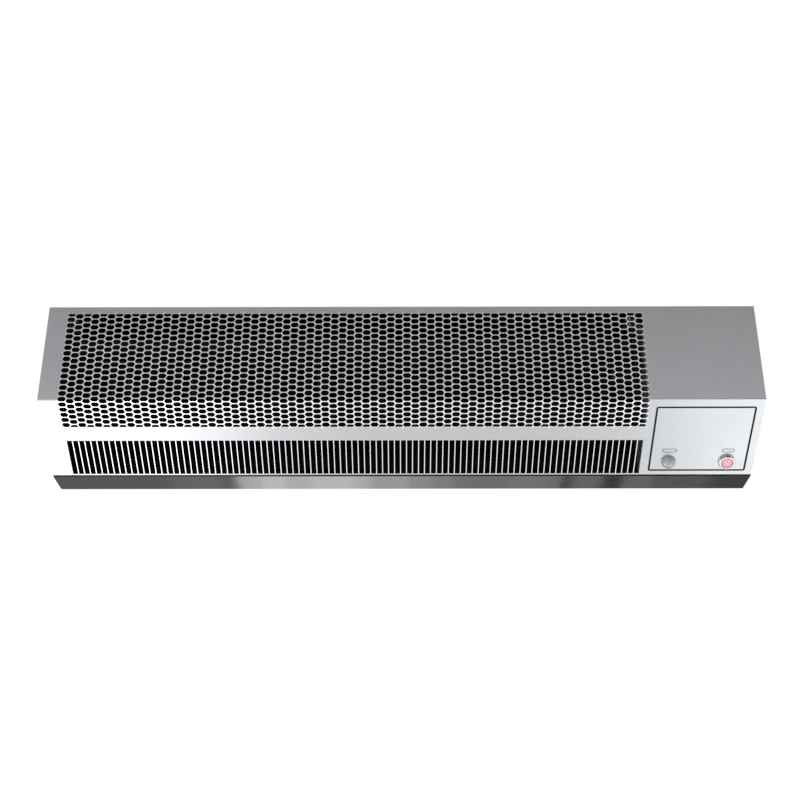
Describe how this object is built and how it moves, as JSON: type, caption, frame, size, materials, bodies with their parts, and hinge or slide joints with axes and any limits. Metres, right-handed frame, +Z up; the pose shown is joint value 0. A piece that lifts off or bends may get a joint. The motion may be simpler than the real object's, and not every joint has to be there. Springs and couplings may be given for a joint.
{
  "type": "air curtain",
  "caption": "Wall-hung cross-flow air curtain in a folded stainless casing, with a perforated intake, a slotted outlet and a control panel with sensor and power button.",
  "frame": {"origin": "centre of the four wall bolt holes, on the wall plane at the back", "axes": "+X along the casing to the control panel's end, +Y into the wall (the front faces -Y), +Z up"},
  "size_m": [0.902, 0.1525, 0.1924],
  "materials": {
    "stainless": "satin",
    "cap_steel": "satin",
    "galvanised": "matte zinc",
    "wheel_black": "matte black",
    "ground_steel": "ground",
    "hub_steel": "dark",
    "bronze": "sintered",
    "rubber_black": "matte",
    "motor_shell": "cast satin",
    "laminations": "varnished",
    "copper": "enamelled wire",
    "zinc_screw": "bright zinc",
    "lens": "translucent satin",
    "white_plastic": "satin",
    "black_plastic": "satin",
    "sensor_can": "bright",
    "button_steel": "polished",
    "light_ring": "translucent",
    "contact_brass": "bright",
    "board_green": "solder mask",
    "transformer_steel": "varnished",
    "terminal_green": "satin",
    "fuse_clear": "clear"
  },
  "bodies": {
    "root": {"front_cover": "stainless", "rear_casing": "stainless", "left_end_cap": "cap_steel", "right_end_cap": "cap_steel", "wall_rail": "galvanised", "left_side_plate": "galvanised", "right_side_plate": "galvanised", "volute": "galvanised", "tongue": "galvanised", "bearing_bush": "bronze", "bearing_rubber": "rubber_black", "motor_stator": "laminations", "motor_windings": "copper", "motor_front_shell": "motor_shell", "motor_rear_shell": "motor_shell", "motor_bolts": "zinc_screw", "motor_rubbers": "rubber_black", "motor_bracket": "galvanised", "sensor_lens": "lens", "sensor_element": "sensor_can", "sensor_body": "white_plastic", "sensor_clip": "black_plastic", "button_body": "button_steel", "button_nut": "button_steel", "button_terminals": "contact_brass", "circuit_board": "board_green", "board_standoffs": "contact_brass", "board_screws": "zinc_screw", "relay": "black_plastic", "transformer": "transformer_steel", "terminal_block": "terminal_green", "fuse_holder": "fuse_clear", "capacitor": "white_plastic", "capacitor_clip": "galvanised", "cable_grommet": "rubber_black", "cover_screws": "zinc_screw", "end_cap_screws": "zinc_screw", "side_plate_screws": "zinc_screw", "bracket_screws": "zinc_screw"},
    "fan_rotor": {"fan_wheel": "wheel_black", "wheel_shaft": "ground_steel", "drive_hub": "hub_steel", "hub_screw": "hub_steel", "motor_shaft": "ground_steel", "motor_rotor": "laminations"},
    "power_button": {"button_cap": "button_steel", "button_light": "light_ring"}
  },
  "joints": [
    {"name": "fan_spin", "type": "hinge", "parent": "root", "child": "fan_rotor", "pos_m": [0, -0.088, -0.002], "axis": [-1, 0, 0], "continuous": true},
    {"name": "button_press", "type": "slide", "parent": "root", "child": "power_button", "axis": [0, 0.4617, 0.887], "range_m": [0, 0.002], "stiffness_N_per_m": 800, "springref_m": -0.001}
  ]
}
